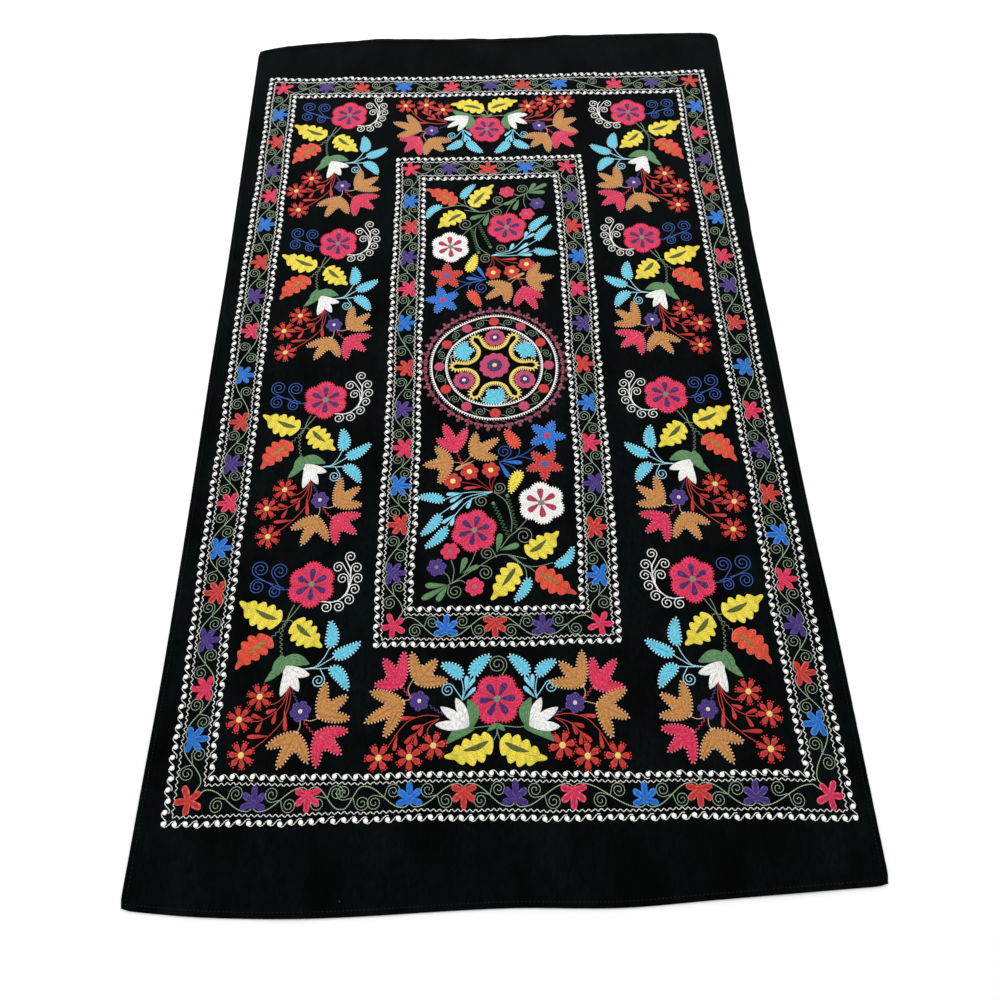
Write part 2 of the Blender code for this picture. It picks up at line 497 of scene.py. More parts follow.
def zigzag(place, thread, points, pitch=1.0, swing=0.26, **how):
    """A stem that wavers from side to side."""
    path = even(smooth(points), pitch / 8)
    wave = np.sin(np.arange(len(path)) * TWO_PI / 8)[:, None]
    place.line(thread, path + swing * wave * side_of(headings(path)), curved=False,
               step=0.0014, plain=True, **how)


# ---------------------------------------------------------------- motifs
def great_flower(place, centre, thread="pink", star="plum", turn=30.0, star_width=1.45):
    """A six-lobed flower with a star of six drops."""
    edge = round_shape(place, thread, centre, 5.05, 6, 0.19, turn, base=0.0004, rim=0.2)
    place.picots(thread, edge, size=0.0035, tone=0.1)
    centre = np.array(centre, float)
    for k in range(6):
        way = polar(math.radians(turn + 60 * k))
        petal(place, star, centre + 0.5 * way, centre + 3.6 * way, star_width, drop,
              base=0.0015, height=0.0009)
        cleft = polar(math.radians(turn + 60 * k + 30))
        place.line(thread, [centre + r * cleft for r in (1.6, 2.8, 4.0)], base=0.0013,
                   height=0.0005, tone=-0.6 if thread == "pink" else -0.25)
    round_shape(place, "stone", centre, 0.75, base=0.0020, height=0.0008)


def tulip(place, thread, base, *tips, width=2.0):
    """Petals fanned from one round base, each with a darker vein."""
    base, tips = np.array(base, float), np.array(tips, float)
    middle = base + 1.9 * unit(np.mean(tips, 0) - base)
    parts = []
    for k, tip in enumerate(tips):
        way = unit(tip - base)
        parts.append(petal(place, thread, base - 0.25 * way, tip - 0.35 * way, width,
                           tulip_petal, base=0.0003 + 0.00025 * (k % 2),
                           tone=0.12 * (k % 2) - 0.06))
    parts.append(round_shape(place, thread, middle, 1.75, base=0.0005))
    place.picots(thread, *parts)
    for tip in tips:
        path = [middle + share * (tip - middle) for share in (0.0, 0.35, 0.7)]
        place.line(thread, path, base=0.0014, height=0.0005, tone=-0.6)


def daisy(place, centre, turn, count=7):
    """Round-ended petals about a yellow eye, with three knots on the end of each."""
    centre = np.array(centre, float)
    radius = 2.75
    for k in range(count):
        angle = math.radians(turn) + TWO_PI * k / count
        way = polar(angle)
        petal(place, "red", centre + 0.5 * way, centre + (radius - 0.3) * way, 10.6 / count,
              wedge, base=0.0003, tone=-0.2, rim=0.35, step=0.0036)
        spots = centre + polar(angle + np.array([-0.2, 0, 0.2]), radius - 0.12)
        heads = unit(place(spots) - place(centre[None]))
        domes(THREADS["red"], place(spots), heads, 0.0038, 0.0036, 0.0011, 0.0003, 0.2)
    round_shape(place, "straw", centre, 0.65, base=0.0012, height=0.0010, tone=0.5)


def blossom(place, thread, centre, eye, turn=0.0, radius=2.1, eye_size=0.5, eye_tone=0.0):
    """A small six-lobed flower."""
    round_shape(place, thread, centre, radius, 6, 0.26, turn, base=0.0004, rim=0.2, step=0.0032)
    round_shape(place, eye, centre, eye_size, base=0.0013, height=0.0009, tone=eye_tone)


def star(place, thread, eye, centre, radius, turn):
    """Five pointed arms with picot edges."""
    centre, parts = np.array(centre, float), []
    for k in range(5):
        way = polar(math.radians(turn + 72 * k))
        parts.append(petal(place, thread, centre - 0.5 * way, centre + (radius - 0.2) * way, 1.95,
                           tulip_petal, base=0.0003 + 0.0002 * (k % 2)))
    parts.append(round_shape(place, thread, centre, 1.6, base=0.0006))
    place.picots(thread, *parts)
    round_shape(place, eye, centre, 0.8, base=0.0016, height=0.0008, tone=-0.3)


def veined_leaf(place, thread, base, tip, width=6.0, bend=0.05):
    """A lobed leaf with a line to each lobe and a long lens down its middle."""
    petal(place, thread, base, tip, width, lobed_leaf, bend, count=110, rim=0.5)
    base, tip = np.array(base, float), np.array(tip, float)
    span = tip - base
    out = side_of(unit(span))
    for share in (0.20, 0.40, 0.60):
        arch = bend * np.linalg.norm(span) * math.sin(math.pi * share)
        for side in (-1, 1):
            path = [base + (share - 0.05 + 0.05 * t) * span + (arch + side * t * width * 0.33) * out
                    for t in (0.25, 0.6, 1.0)]
            place.line(thread, path, width=THIN, base=0.0013, height=0.0004, tone=-0.4)
    vein, tone = ("tan", -0.7) if thread == "orange" else ("olive", 0)
    petal(place, vein, base + 0.09 * span, base + 0.62 * span, 1.15, pointed, bend, base=0.0014,
          height=0.0008, tone=tone)


def cyan_leaf(place, foot, tip, width, bend):
    petal(place, "cyan", foot, tip, width, leaf, bend, picot=True)


def palmette(place, thread, centre, up, splayed=False):
    """A border flower: five round-ended petals, open at its foot, or all round at a corner."""
    up = np.array(up, float)
    foot = np.array(centre, float) - (0.0 if splayed else 0.75) * up
    first = math.atan2(up[1], up[0])
    turns, reaches = (-108, -50, 0, 50, 108), (2.65, 2.9, 3.35, 2.9, 2.65)
    if splayed:
        turns, reaches = (-140, -72, -8, 68, 142), (2.6, 2.9, 2.7, 3.0, 2.7)
    for k, (turn, reach) in enumerate(zip(turns, reaches)):
        way = polar(first + math.radians(turn))
        petal(place, thread, foot - 0.1 * way, foot + reach * way, 1.48, finger,
              base=0.0003 + 0.0002 * (k % 2), tone=0.2 * (k % 2) - 0.2, rim=0.4)
        place.line(thread, [foot + share * reach * way for share in (0.25, 0.5, 0.78)],
                   width=THIN, base=0.0013, height=0.0004, tone=-0.9)
    round_shape(place, thread, foot, 1.0, base=0.0004)


# ---------------------------------------------------------------- frames and borders
def knot_and_wave(place, thread, corners, bows, knots_out, gap):
    """A white frame: a wavering line, and beside it a row of knots joined by S-shaped tails.

    bows is how far the middle of each side stands out from a straight line; knots_out is 1
    where the knots are outside the line and -1 where they are inside it.
    """
    corners = np.array(corners, float)
    for k, bow in enumerate(bows):
        a, b = corners[k], corners[(k + 1) % 4]
        length = np.linalg.norm(b - a)
        ahead = (b - a) / length
        normal = -side_of(ahead)

        def along_side(share, offset):
            bulge = 4 * bow * share * (1 - share)
            return a + np.outer(share * length, ahead) + np.outer(bulge + offset, normal)

        waves = round(length / 1.18)
        s = np.linspace(0, 1, waves * 8 + 1)
        swing = 0.22 * np.sin(s * waves * TWO_PI) + 0.05 * np.sin(s * length * 0.9)
        place.line(thread, along_side(s, swing), curved=False, height=0.0012, step=0.0021,
                   plain=True)

        first, last = -gap * knots_out / length, 1 + gap * knots_out / length
        knots = round((last - first) * length / 2.0)
        pitch = (last - first) / knots
        at = first + pitch * np.arange(knots)
        wobble = gap * knots_out + 0.10 * np.sin(at * length * 1.9) + 0.06 * np.sin(
            at * length * 4.3 + 1)
        world = place(along_side(at, wobble))
        dots(THREADS[thread], world, np.repeat(unit(world[-1:] - world[:1]), knots, 0))
        along = np.array([-0.14, 0.10, 0.32, 0.54, 0.72, 0.90, 1.12]) * pitch
        swept = np.array([0.24, 0.50, 0.42, 0.0, -0.38, -0.54, -0.46])
        shape = smooth(np.stack([along, swept], 1), per=3)
        for where, offset in zip(at, wobble):
            place.line(thread, along_side(where + shape[:, 0], offset + shape[:, 1] * knots_out),
                       curved=False, height=0.0012, plain=True)


def vine_band(place, start, end, flowers, first_side=1, bow=0.0):
    """A winding stem from corner to corner, round the foot of each flower, with paired curls.

    flowers holds (distance from the start, thread or None) in order; sides alternate along it.
    """
    start, end = np.array(start, float), np.array(end, float)
    length = np.linalg.norm(end - start)
    ahead = (end - start) / length
    left = side_of(ahead)

    def spot(along, across):
        bulge = 4 * bow * along * (length - along) / length**2
        return start + along * ahead + (bulge + across) * left

    nodes = [(at, first_side * (-1) ** k, thread) for k, (at, thread) in enumerate(flowers)]
    for at, side, thread in nodes:
        if thread:
            palmette(place, thread, spot(at, 0.0), side * left)
    bends = [(1.3, 1.0 * nodes[0][1]), (3.2, 1.9 * nodes[0][1])]
    for at, side, thread in nodes:
        flank = 1.3 if thread else 0.3
        bends += [(at - flank, -2.1 * side), (at + flank, -2.1 * side)]
    bends += [(length - 3.2, 1.9 * nodes[-1][1]), (length - 1.3, 1.0 * nodes[-1][1])]
    path = []
    for (s0, b0), (s1, b1) in zip(bends[:-1], bends[1:]):
        t = np.linspace(0, 1, 12, endpoint=False)
        along, across = s0 + t * (s1 - s0), b0 + (0.5 - 0.5 * np.cos(math.pi * t)) * (b1 - b0)
        for at, side, thread in nodes:
            across += (0.55 if thread else 0.0) * side * np.exp(-((along - at) / 0.55) ** 2)
        path += [spot(*point) for point in zip(along, across)]
        if b0 * b1 < 0:
            middle, rising = (s0 + s1) / 2, 1 if b1 > b0 else -1
            for way in (-1, 1):
                centre = spot(middle + way * 1.75, -way * rising * 0.95)
                curl(place, "vine", spot(middle + way * 0.1, 0), centre, 1.36, way * rising,
                     width=0.0022, height=0.0010, turns=2.0, plain=True)
    path.append(spot(*bends[-1]))
    place.line("vine", np.array(path), curved=False, width=0.0033, height=0.0010,
               base=-0.0001, plain=True)


def band(threads, *ats):
    """The flowers of a band: where each lies along it, and threads that take turns."""
    return list(zip(ats, cycle(threads)))


OUTER_LEFT = band(("blue", "red", "purple", "pink"), 88, 77, 66, 56.5, 46, 33, 22, 11, -2.5,
                  -15.5, -26.5, -36.5, -47.5, -57.5, -67.5, -77.5, -87.5)
OUTER_RIGHT = band(("blue", "pink", "purple", "red"), 88, 77.5, 67, 56, 45, 32, 22.5, 10.5, -3,
                   -15, -25.5, -37, -47, -57, -67, -77, -87)
OUTER_BOTTOM = [(-48, "purple"), (-37.5, "pink"), (-31, None), (-27, None), (-18.5, "blue"),
                (-8, "red"), (2, "purple"), (13, "pink"), (26.5, "blue"), (37, "red"),
                (47.5, "purple")]
OUTER_TOP = band(("purple", "red", "blue", "pink"), -49, -38.5, -26, -12, 0, 9.5, 20, 36.5, 48)
INNER_LEFT = band(("blue", "red", "purple", "pink"), 53.5, 44, 33.5, 23, 12.5, -1, -13, -23.5,
                  -33, -42.5, -54)
INNER_RIGHT = band(("purple", "red", "blue", "pink"), 54, 43.5, 33, 22, 11, -1, -12, -23, -33.5,
                   -44, -55)
INNER_TOP = band(("purple", "red", "blue"), -12, -1.5, 9)
INNER_BOTTOM = band(("blue", "red", "purple"), -11.5, -1.5, 8.5)

# Each border: its corners, its corner flowers, and its bands with the axis that their
# distances run along, the corners they join, the side of the first flower, and the bow.
BORDERS = (
    ({"tl": (-61.8, 99.4), "tr": (59.2, 99.0), "bl": (-60.6, -98.9), "br": (61.5, -100.1)},
     ("pink", "red", "red", "pink"),
     ((OUTER_LEFT, 1, "tl", "bl", 1, 0.0), (OUTER_RIGHT, 1, "tr", "br", -1, -0.45),
      (OUTER_BOTTOM, 0, "bl", "br", 1, 0.55), (OUTER_TOP, 0, "tl", "tr", -1, -0.4))),
    ({"tl": (-22.9, 65.2), "tr": (20.9, 65.2), "bl": (-22.7, -65.8), "br": (20.6, -65.8)},
     ("pink", "pink", "pink", "pink"),
     ((INNER_LEFT, 1, "tl", "bl", 1, 0.5), (INNER_RIGHT, 1, "tr", "br", -1, 0.65),
      (INNER_BOTTOM, 0, "bl", "br", 1, 0.0), (INNER_TOP, 0, "tl", "tr", -1, 0.0))),
)
# Each frame: its thread, its corners, the bow of each side, and the side and gap of its knots.
FRAMES = (
    ("white_border", ((-63.1, -101.7), (64.2, -102.8), (62.1, 102.0), (-64.3, 102.0)),
     (-0.6, -0.45, -0.7, 0.0), 1, 1.3),
    ("white_border", ((-58.0, -96.1), (58.9, -97.5), (56.3, 95.9), (-59.2, 96.8)),
     (-0.4, -0.4, -0.1, 0.0), -1, 1.2),
    ("white_inner", ((-25.1, -68.4), (23.0, -68.4), (23.5, 67.8), (-25.4, 67.8)),
     (0.0, 0.6, 0.0, -0.4), 1, 1.2),
    ("white_inner", ((-20.4, -63.3), (18.3, -63.3), (18.3, 62.7), (-20.5, 62.7)),
     (0.0, 0.6, 0.0, -0.5), -1, 1.2),
)


def frames_and_borders():
    ground = Place()
    for row in FRAMES:
        knot_and_wave(ground, *row)
    for corners, corner_threads, bands in BORDERS:
        for flowers, axis, start, end, first_side, bow in bands:
            from_start = [(abs(at - corners[start][axis]), thread) for at, thread in flowers]
            vine_band(ground, corners[start], corners[end], from_start, first_side, bow)
        for corner, thread in zip(corners.values(), corner_threads):
            palmette(ground, thread, corner, -np.sign(corner) / math.sqrt(2), True)


# ---------------------------------------------------------------- the medallion
MEDALLION = (-0.6, -1.1)


def bars(thread, path, side, pitch, offset, length, width, tone):
    """The bars of buttonhole stitch along one side of a closed path; side is 1 for outside."""
    ticks = even(path, pitch, True)
    out = -side_of(headings(ticks, True)) * side
    domes(THREADS[thread], ticks + offset * out, out, length, width, 0.0013, 0.0004, tone)


def medallion():
    place = Place(*MEDALLION)
    angle = np.arange(180) * TWO_PI / 180
    for radius, teeth in ((15.0, 1), (11.6, -1)):
        ring = polar(angle, radius + 0.16 * np.cos(2 * angle) + 0.10 * np.sin(5 * angle))
        place.line("white", ring, closed=True, width=0.0034, pinch=0.86, step=0.0026,
                   height=0.0013, base=0.0002)
        bars("white", place(ring), teeth, 0.0062, 0.0030, 0.0060, 0.0034, 0.0)

    # Twelve discs between the rings, with an S of vine between each pair.
    vine = dict(width=0.0018, height=0.0008, plain=True)
    for k in range(12):
        way = math.radians(90 - 30 * k)
        round_shape(place, ("red", "rosette")[k % 2], polar(way, 13.3), 1.35, 4, 0.08, 30 * k + 20,
                    base=0.0002, height=0.0014)
        aside = way - math.radians(15)
        t = np.linspace(-1, 1, 64)
        turn = aside + TWO_PI * 0.95 * np.abs(t) + math.pi * (t < 0)
        place.line("vine", polar(aside, 13.3) + polar(turn, 1.2 * np.abs(t) ** 0.9),
                   curved=False, **vine)
        for hand in (1, -1):
            edge = polar(aside, 13.3) + polar(aside + TWO_PI * 0.95 + math.pi * (hand < 0), 1.2)
            place.line("vine", [edge, polar(aside - 0.09 * hand, 13.3 + 0.9 * hand),
                                polar(aside - 0.17 * hand, 13.3 + 0.5 * hand)], **vine)

    # Sprigs of three leaves outside the rings.
    for k in range(44):
        way = TWO_PI * k / 44 + 0.05
        foot = polar(way, 16.3)
        for turn, reach in ((-1.0, 1.25), (0, 1.8), (1.0, 1.25)):
            petal(place, "rose", foot, foot + polar(way + turn, reach), 0.95, drop, count=14,
                  step=0.0030, tone=0.3 * abs(turn))
        place.line("rose", [polar(way - 0.09, 15.6), polar(way - 0.04, 15.8), foot],
                   width=0.0020)

    # The six-armed straw band, and what lies inside it and between its arms.
    outline = []
    for k in range(6):
        out = polar(math.radians(60 * k))
        across = side_of(out)
        outline += [out * 9.4 - across * 0.95, out * 10.3, out * 9.4 + across * 0.95]
        valley = math.radians(60 * k + 30)
        for sweep in (-80, -48, -16, 16, 48, 80):
            outline.append(polar(valley, 8.3) + polar(valley + math.pi - math.radians(sweep), 3.45))
    outline = smooth(outline, True)
    place.line("straw", outline, curved=False, closed=True, width=0.0074, pinch=0.84,
               step=0.0027, height=0.0012, base=0.0002, tone=-0.2)
    bars("straw", place(outline), 1, 0.0060, 0.0038, 0.0112, 0.0036, 0.6)
    round_shape(place, "rosette", (0, 0), 3.75, 11, 0.14, height=0.0013, rim=0.3)
    round_shape(place, "plum", (0, 0), 1.9, 9, 0.14, base=0.0014, height=0.0010)
    round_shape(place, "straw", (0, 0), 0.62, base=0.0024, height=0.0010, tone=0.8)
    for way in (90, 210, 330):
        spot = polar(math.radians(way), 8.3)
        round_shape(place, "rosette", spot, 2.6, 10, 0.13, height=0.0013, rim=0.35,
                    step=0.0036)
        round_shape(place, "plum", spot, 1.35, 7, 0.2, base=0.0014, height=0.0009)
        round_shape(place, "white", spot, 0.52, base=0.0022, height=0.0009)
    for turn in (0, 120, 240):
        sprig = Place(*MEDALLION, turn)
        tulip(sprig, "cyan", (8.3, 6.1), (4.6, 4.2), (6.7, 1.6), (9.9, 1.8), width=1.7)
        for start, centre, hand in (((8.2, 6.2), (6.5, 6.9), 1), ((5.9, 8.5), (7.6, 7.3), -1)):
            curl(sprig, "white", start, centre, 0.5, hand, width=0.0023, turns=1.0, step=0.0014,
                 plain=True)


# ---------------------------------------------------------------- groups of motifs
def side_group(place, curls):
    """Flower, leaves, bell and tulips hanging down one side of the field."""
    place.line("navy", [(-4.4, -0.8), (-7, -0.6), (-9, 0.6)], width=THIN)
    for start, centre, radius, hand, turns in (
        ((-8.6, 0.4), (-11.2, 3.8), 1.8, -1, 2.1), ((-6.6, -0.5), (-7.1, 3.3), 1.75, -1, 2.1),
        ((-8.0, 0.4), (-11.5, -0.1), 1.6, 1, 2.1), ((-5.8, -0.5), (-7.6, -1.2), 1.35, 1, 2.0),
    ):
        curl(place, "navy", start, centre, radius, hand, width=THIN, turns=turns)

    stem = [(2.3, -3.9), (5.3, -4.0), (7.5, -2.2), (8.4, 0.8), (8.3, 3.3), (7.7, 4.6)]
    place.line("white", stem, width=0.0030)
    for foot, centre, hand in (
        ((8.2, 3.6), (8.2, 6.2), -1), ((8.4, 1.5), (5.6, 3.8), 1), ((8.4, 0.9), (9.7, 3.6), -1),
        ((8.1, -0.6), (6.7, 1.2), 1), ((8.2, -1.0), (10.0, 1.1), -1),
        ((7.7, -2.4), (9.4, -1.3), -1), ((6.6, -3.2), (8.2, -3.6), -1),
        ((5.0, -3.9), (6.0, -5.1), -1), ((2.9, -3.9), (3.4, -5.2), -1),
    )[-curls:]:
        curl(place, "white", foot, centre, 1.2, hand, width=0.0028, turns=1.6)

    great_flower(place, (0, 0))
    place.lines("sage", [(-2.0, -4.4), (-3.4, -6.4), (-4.5, -7.6)],
                [(-3.2, -4.2), (-4.0, -6.0), (-4.5, -7.6), (-5.8, -7.6)],
                [(-4.4, -7.6), (-3.5, -7.7), (-3.2, -8.4)], width=THIN, tone=0.15)
    zigzag(place, "sage", [(-4.5, -7.6), (-5.4, -10.5), (-5.0, -15.5)], width=0.0023, tone=0.15)
    zigzag(place, "sage", [(-4.6, -8.0), (-6.0, -9.8), (-8.0, -11.9)], swing=0.24,
           width=0.0023, tone=0.15)
    veined_leaf(place, "yellow", (-5.6, -7.6), (-14.8, -3.3), bend=0.06)
    veined_leaf(place, "yellow", (-3.0, -7.9), (3.0, -14.0), 5.8, bend=-0.05)
    veined_leaf(place, "orange", (-7.3, -11.2), (-14.2, -17.8), 5.7, bend=-0.09)

    round_shape(place, "green", (-4.9, -16.7), 1.3)
    petal(place, "green", (-4.7, -15.0), (-6.3, -19.9), 2.6, pointed, 0.03, base=0.0005)
    petal(place, "green", (-5.5, -17.0), (-8.0, -20.6), 1.6, pointed, 0.10, base=0.0004)
    petal(place, "green", (-5.3, -16.3), (0.9, -17.4), 2.6, pointed, 0.10, base=0.0004)
    for tip, bend in (((1.1, -19.7), -0.06), ((-4.3, -23.6), 0.10), ((-0.8, -22.8), 0.0)):
        petal(place, "white", (-3.9, -17.3), tip, 2.0, bell_petal, bend, base=0.0010)
    round_shape(place, "white", (-3.4, -18.6), 1.0, base=0.0010)

    place.lines("cyan", [(-1.8, -18.2), (1.2, -18.3), (2.4, -17.7), (3.7, -16.0), (4.6, -14.0)],
                [(0.8, -18.2), (2.6, -17.9), (4.3, -16.9), (5.8, -16.0)],
                [(0.2, -18.2), (3.0, -18.4), (5.4, -18.3)], tone=1.6)
    curl(place, "cyan", (3.0, -18.4), (2.9, -20.8), 1.28, -1, width=0.0028, tone=1.6)
    cyan_leaf(place, (4.7, -14.0), (4.5, -8.4), 2.7, -0.07)
    cyan_leaf(place, (5.6, -16.0), (10.8, -13.1), 2.6, -0.05)
    cyan_leaf(place, (5.3, -18.2), (8.8, -22.6), 2.6, 0.08)

    place.lines("red", [(-2.9, -21.0), (-3.4, -23.4), (-5.4, -25.0), (-7.0, -24.8)],
                [(-2.9, -21.0), (-3.3, -24.2), (-5.0, -26.6), (-8.0, -28.3), (-10.4, -28.2)],
                [(-2.7, -21.0), (-2.3, -24.5), (-3.4, -28.2), (-6.2, -31.4), (-9.3, -33.9)],
                [(-2.7, -21.5), (-2.9, -24.5), (-3.3, -27.0)], width=0.0021, tone=0.3)
    petals(place, "red", 0.95, drop,
           ((-4.6, -25.9), (-7.0, -26.8)), ((-4.8, -26.3), (-5.4, -29.0)),
           ((-7.2, -28.0), (-9.8, -27.1)), ((-7.4, -28.2), (-8.6, -30.6)),
           ((-3.2, -26.0), (-2.8, -30.4)), ((-5.9, -31.2), (-10.4, -31.4)), tone=-0.1)
    daisy(place, (-8.5, -23.5), 12)
    daisy(place, (-12.2, -28.0), 0)
    daisy(place, (-11.3, -34.8), 20)

    zigzag(place, "purple", [(-2.2, -22.3), (-1.4, -23.8), (-0.7, -25.2)], 0.8, 0.2, tone=0.4)
    place.lines("tan", [(0.6, -28.3), (2.0, -28.6), (3.3, -28.2)],
                [(0.0, -28.3), (-0.1, -29.8), (-0.8, -31.0)], width=THIN, tone=1.1)
    zigzag(place, "pink", [(0.5, -28.4), (1.6, -29.9), (2.8, -31.2)], 0.9, 0.22, tone=0.3)
    blossom(place, "purple", (-0.1, -26.7), "white", 10, eye_tone=-0.5)
    tulip(place, "tan", (3.6, -27.7), (4.5, -20.9), (9.1, -23.7), (9.7, -28.2), width=1.85)
    tulip(place, "tan", (-0.8, -30.9), (-6.6, -33.4), (-4.1, -37.4), (2.0, -36.6), width=1.85)
    tulip(place, "pink", (3.4, -31.1), (9.5, -30.5), (8.4, -35.1), (3.6, -37.5), width=1.85)


def centre_group(place):
    """The spread of flowers across one end of the field; it opens towards local +Y."""
    place.lines("sage", [(-1.2, -86.2), (-6.0, -86.4), (-7.5, -85.6)],
                [(-1.2, -86.2), (3.0, -86.6), (5.0, -86.0)],
                [(-1.2, -86.6), (-1.3, -88.0), (-2.2, -89.4)],
                [(-1.2, -86.6), (-1.0, -88.0), (-0.6, -89.2)], width=THIN)
    great_flower(place, (-1.2, -81), turn=4)
    petals(place, "green", 1.1, pointed,
           ((-0.9, -85.8), (-3.2, -87.3)), ((-1.3, -85.8), (0.4, -87.4)))
    veined_leaf(place, "yellow", (-2.0, -88.9), (-11.7, -91.8), 5.8, bend=0.07)
    veined_leaf(place, "yellow", (-0.7, -89.2), (8.2, -92.5), 5.8, bend=-0.07)

    # On each side of the flower: calyx, bell and cyan leaves.
    for x, way, foot, tips in (
        (-6.6, -1, -86.1, ((2.9, -80.3), (6.0, -82.0), (7.0, -85.5))),
        (5.0, 1, -86.3, ((2.5, -80.8), (5.8, -82.9), (5.9, -86.6))),
    ):
        petal(place, "green", (x + way * 0.4, -80.7), (x - way * 0.2, -87.0), 2.3, pointed,
              -0.15 * way, base=0.0016)
        petal(place, "green", (x - way * 1.2, -86.4), (x + way * 4.7, -89.4), 2.4, pointed,
              0.13 * way)
        for dx, y in tips:
            petal(place, "white", (x - way * 0.1, foot), (x + way * dx, y), 2.0, bell_petal,
                  base=0.0009)
        root = x + way * 1.6
        place.lines("cyan", [(root, -81.0), (root - way * 0.2, -78.6), (root + way * 0.2, -76.4)],
                    [(root, -81.0), (root - way * 0.8, -78.4), (root - way * 1.8, -75.9)],
                    tone=0.9)
        for (dx0, y0), (dx1, y1) in (((0.2, -80.9), (2.7, -78.4)), ((0.4, -79.4), (2.5, -76.5)),
                                     ((0.6, -78.9), (0.9, -75.9))):
            petal(place, "cyan", (root - way * dx0, y0), (root - way * dx1, y1), 0.95, drop,
                  tone=0.7)
        cyan_leaf(place, (x + way * 1.7, -76.1), (x + way * 5.6, -73.5), 2.6, 0.07 * way)
        cyan_leaf(place, (x - way * 0.2, -76.0), (x - way * 3.9, -72.0), 2.6, -0.07 * way)
        curl(place, "cyan", (root, -80.6), (root + way * 2.9, -78.7), 1.3, -way,
             width=0.0028, tone=0.9)

    # Farther out: blossom, stems and daisies; the red ones stand higher on the left.
    for x, y, way, rise in ((-16.9, -80.9, -1, 0.5), (14.2, -82.2, 1, 0.0)):
        zigzag(place, "purple", [(x - way * 2.0, y - 0.9), (x - way * 5.0, y - 2.6)], 0.9, 0.22,
               tone=0.4)
        blossom(place, "purple", (x, y), "white", 20, eye_tone=-0.5)
        place.lines("tan", [(x + way * 1.6, y + 0.4), (x + way * 2.3, y + 2.2),
                            (x + way * 1.4, y + 4.0)],
                    [(x + way * 1.9, y + 0.3), (x + way * 4.6, y - 0.3)], width=THIN, tone=1.1)
        zigzag(place, "pink", [(x + way * 1.7, y + 0.4), (x + way * 3.9, y + 3.2)], 0.9, 0.22,
               tone=0.3)
        for points in (
            [(-4.2, -84.4), (-1.5, -84.2), (0.8, -84.7)],
            [(0.6, -84.6), (2.4, -85.5), (4.4, -87.6), (6.6, -91.0)],
            [(-4.2, -84.9), (-1.6, -85.8), (0.0, -87.2), (1.2, -89.0), (1.6, -90.4)],
            [(-4.2, -84.9), (-2.4, -86.2), (-1.8, -87.4), (-2.1, -88.9)],
        ):
            place.line("red", [(x + way * dx, dy + rise) for dx, dy in points], width=0.0021,
                       tone=0.3)
        for foot, tip in (
            ((0.3, -84.6), (4.1, -84.8)), ((4.3, -87.6), (4.8, -90.9)),
            ((-1.2, -86.0), (1.5, -86.8)), ((-1.0, -86.2), (-0.1, -88.3)),
            ((0.2, -87.4), (2.8, -89.6)), ((0.6, -87.8), (0.5, -90.2)),
        ):
            petal(place, "red", (x + way * foot[0], foot[1] + rise),
                  (x + way * tip[0], tip[1] + rise), 0.95, drop, tone=-0.1)
        for dx, y_eye, turn in ((-3.1, -90.1, 10), (1.7, -92.2, 30), (7.7, -92.0, 0)):
            daisy(place, (x + way * dx, y_eye + rise), turn, 6)

    tulip(place, "pink", (-20.7, -77.7), (-24.4, -72.3), (-19.9, -70.9), (-26.3, -77.6))
    tulip(place, "tan", (-17.2, -77.2), (-18.4, -71.0), (-13.1, -72.4), (-10.9, -76.8))
    tulip(place, "tan", (-20.4, -81.2), (-27.0, -78.8), (-28.0, -84.9), (-23.9, -87.9))
    tulip(place, "tan", (15.9, -78.6), (11.2, -73.6), (16.3, -71.4), (9.1, -77.8))
    tulip(place, "pink", (18.8, -79.0), (18.4, -72.8), (23.5, -73.3), (24.8, -79.0))
    tulip(place, "tan", (18.9, -82.6), (25.1, -79.2), (25.0, -85.0), (21.1, -89.0))


